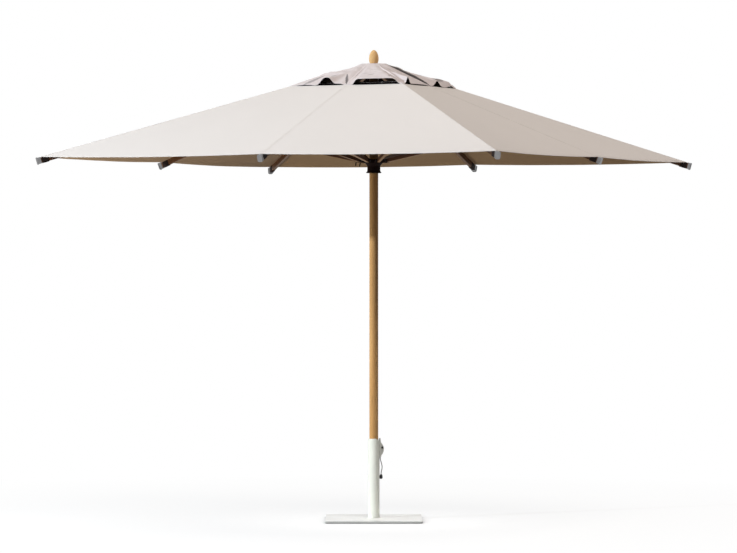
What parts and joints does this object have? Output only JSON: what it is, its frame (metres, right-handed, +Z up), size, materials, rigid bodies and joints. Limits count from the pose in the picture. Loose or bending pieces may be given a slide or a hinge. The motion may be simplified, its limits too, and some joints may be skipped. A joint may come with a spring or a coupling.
{
  "type": "patio umbrella with base",
  "caption": "Square garden parasol with a vented canopy on timber ribs and struts, a round timber mast with a sliding runner, and a square steel base with a cam-locked socket.",
  "frame": {"origin": "on the ground, on the mast's axis", "axes": "+Z up along the mast; X and Y are square to the canopy's sides; the base plate is turned 26 degrees about the mast"},
  "size_m": [3.067, 3.067, 2.9236],
  "materials": {
    "timber": "oiled hardwood, satin",
    "timber_light": "oiled hardwood, satin",
    "canvas": "woven outdoor canvas",
    "resin_dark": "moulded resin, dark brown",
    "steel_bright": "brushed",
    "steel_dark": "blackened",
    "lacquer_white": "powder coat",
    "plastic_black": "moulded",
    "webbing": "woven webbing",
    "cord_grey": "braided cord"
  },
  "bodies": {
    "base": {"base_plate": "lacquer_white", "plate_glides": "plastic_black", "base_tube": "lacquer_white", "base_bushes": "plastic_black", "lock_plates": "lacquer_white", "cam_pin": "steel_dark"},
    "lock_cam": {"lock_cam": "lacquer_white", "cam_spring": "steel_bright", "release_cord": "cord_grey", "cord_knob": "plastic_black"},
    "mast": {"mast": "timber", "mast_foot": "plastic_black", "crown": "resin_dark", "crown_steel": "steel_bright", "finial": "timber_light", "vent_cap": "canvas"},
    "runner": {"runner_hub": "resin_dark", "runner_lugs": "resin_dark", "runner_skirt": "resin_dark"},
    "rib_1": {"rib_1": "timber", "rib_fittings_1": "steel_bright", "canopy_1": "canvas"},
    "strut_1": {"strut_1": "timber", "strut_pin_1": "steel_bright"},
    "rib_2": {"rib_2": "timber", "rib_fittings_2": "steel_bright", "canopy_2": "canvas"},
    "strut_2": {"strut_2": "timber", "strut_pin_2": "steel_bright"},
    "rib_3": {"rib_3": "timber", "rib_fittings_3": "steel_bright", "canopy_3": "canvas"},
    "strut_3": {"strut_3": "timber", "strut_pin_3": "steel_bright"},
    "rib_4": {"rib_4": "timber", "rib_fittings_4": "steel_bright", "canopy_4": "canvas"},
    "strut_4": {"strut_4": "timber", "strut_pin_4": "steel_bright"},
    "rib_5": {"rib_5": "timber", "rib_fittings_5": "steel_bright", "canopy_5": "canvas"},
    "strut_5": {"strut_5": "timber", "strut_pin_5": "steel_bright", "tie_loop": "webbing"},
    "rib_6": {"rib_6": "timber", "rib_fittings_6": "steel_bright", "canopy_6": "canvas"},
    "strut_6": {"strut_6": "timber", "strut_pin_6": "steel_bright"},
    "rib_7": {"rib_7": "timber", "rib_fittings_7": "steel_bright", "canopy_7": "canvas"},
    "strut_7": {"strut_7": "timber", "strut_pin_7": "steel_bright"},
    "rib_8": {"rib_8": "timber", "rib_fittings_8": "steel_bright", "canopy_8": "canvas"},
    "strut_8": {"strut_8": "timber", "strut_pin_8": "steel_bright"}
  },
  "joints": [
    {"name": "mast_lift", "type": "slide", "parent": "base", "child": "mast", "axis": [0, 0, 1], "range_m": [0, 0.44]},
    {"name": "lock_release", "type": "hinge", "parent": "base", "child": "lock_cam", "pos_m": [0.03677, 0.03677, 0.45], "axis": [0.7071, -0.7071, 0], "range_deg": [0, 5], "stiffness_Nm_per_rad": 1, "springref_deg": -11.46},
    {"name": "runner_slide", "type": "slide", "parent": "mast", "child": "runner", "axis": [0, 0, -1], "range_m": [0, 1.2983], "deforming": ["canopy_1", "canopy_2", "canopy_3", "canopy_4", "canopy_5", "canopy_6", "canopy_7", "canopy_8", "vent_cap"]},
    {"name": "rib_fold_1", "type": "hinge", "parent": "mast", "child": "rib_1", "pos_m": [0.058, 0, 2.80114], "axis": [0, 1, 0], "range_deg": [0, 65.5]},
    {"name": "strut_fold_1", "type": "hinge", "parent": "rib_1", "child": "strut_1", "pos_m": [0.95602, 0, 2.40747], "axis": [0, -1, 0], "range_deg": [0, 145.22]},
    {"name": "rib_fold_2", "type": "hinge", "parent": "mast", "child": "rib_2", "pos_m": [0.04101, 0.04101, 2.80565], "axis": [-0.7071, 0.7071, 0], "range_deg": [0, 71.51]},
    {"name": "strut_fold_2", "type": "hinge", "parent": "rib_2", "child": "strut_2", "pos_m": [0.68119, 0.68119, 2.51632], "axis": [0.7071, -0.7071, 0], "range_deg": [0, 144.71]},
    {"name": "rib_fold_3", "type": "hinge", "parent": "mast", "child": "rib_3", "pos_m": [0, 0.058, 2.80114], "axis": [-1, 0, 0], "range_deg": [0, 65.5]},
    {"name": "strut_fold_3", "type": "hinge", "parent": "rib_3", "child": "strut_3", "pos_m": [0, 0.95602, 2.40747], "axis": [1, 0, 0], "range_deg": [0, 145.22]},
    {"name": "rib_fold_4", "type": "hinge", "parent": "mast", "child": "rib_4", "pos_m": [-0.04101, 0.04101, 2.80565], "axis": [-0.7071, -0.7071, 0], "range_deg": [0, 71.51]},
    {"name": "strut_fold_4", "type": "hinge", "parent": "rib_4", "child": "strut_4", "pos_m": [-0.68119, 0.68119, 2.51632], "axis": [0.7071, 0.7071, 0], "range_deg": [0, 144.71]},
    {"name": "rib_fold_5", "type": "hinge", "parent": "mast", "child": "rib_5", "pos_m": [-0.058, 0, 2.80114], "axis": [0, -1, 0], "range_deg": [0, 65.5]},
    {"name": "strut_fold_5", "type": "hinge", "parent": "rib_5", "child": "strut_5", "pos_m": [-0.95602, 0, 2.40747], "axis": [0, 1, 0], "range_deg": [0, 145.22]},
    {"name": "rib_fold_6", "type": "hinge", "parent": "mast", "child": "rib_6", "pos_m": [-0.04101, -0.04101, 2.80565], "axis": [0.7071, -0.7071, 0], "range_deg": [0, 71.51]},
    {"name": "strut_fold_6", "type": "hinge", "parent": "rib_6", "child": "strut_6", "pos_m": [-0.68119, -0.68119, 2.51632], "axis": [-0.7071, 0.7071, 0], "range_deg": [0, 144.71]},
    {"name": "rib_fold_7", "type": "hinge", "parent": "mast", "child": "rib_7", "pos_m": [0, -0.058, 2.80114], "axis": [1, 0, 0], "range_deg": [0, 65.5]},
    {"name": "strut_fold_7", "type": "hinge", "parent": "rib_7", "child": "strut_7", "pos_m": [0, -0.95602, 2.40747], "axis": [-1, 0, 0], "range_deg": [0, 145.22]},
    {"name": "rib_fold_8", "type": "hinge", "parent": "mast", "child": "rib_8", "pos_m": [0.04101, -0.04101, 2.80565], "axis": [0.7071, 0.7071, 0], "range_deg": [0, 71.51]},
    {"name": "strut_fold_8", "type": "hinge", "parent": "rib_8", "child": "strut_8", "pos_m": [0.68119, -0.68119, 2.51632], "axis": [-0.7071, -0.7071, 0], "range_deg": [0, 144.71]}
  ],
  "couplings": [
    {"joint": "rib_fold_1", "follows": "runner_slide", "rad_per_m": 0.8805},
    {"joint": "strut_fold_1", "follows": "runner_slide", "rad_per_m": 1.9522},
    {"joint": "rib_fold_2", "follows": "runner_slide", "rad_per_m": 0.96126},
    {"joint": "strut_fold_2", "follows": "runner_slide", "rad_per_m": 1.9453},
    {"joint": "rib_fold_3", "follows": "runner_slide", "rad_per_m": 0.8805},
    {"joint": "strut_fold_3", "follows": "runner_slide", "rad_per_m": 1.9522},
    {"joint": "rib_fold_4", "follows": "runner_slide", "rad_per_m": 0.96126},
    {"joint": "strut_fold_4", "follows": "runner_slide", "rad_per_m": 1.9453},
    {"joint": "rib_fold_5", "follows": "runner_slide", "rad_per_m": 0.8805},
    {"joint": "strut_fold_5", "follows": "runner_slide", "rad_per_m": 1.9522},
    {"joint": "rib_fold_6", "follows": "runner_slide", "rad_per_m": 0.96126},
    {"joint": "strut_fold_6", "follows": "runner_slide", "rad_per_m": 1.9453},
    {"joint": "rib_fold_7", "follows": "runner_slide", "rad_per_m": 0.8805},
    {"joint": "strut_fold_7", "follows": "runner_slide", "rad_per_m": 1.9522},
    {"joint": "rib_fold_8", "follows": "runner_slide", "rad_per_m": 0.96126},
    {"joint": "strut_fold_8", "follows": "runner_slide", "rad_per_m": 1.9453}
  ]
}
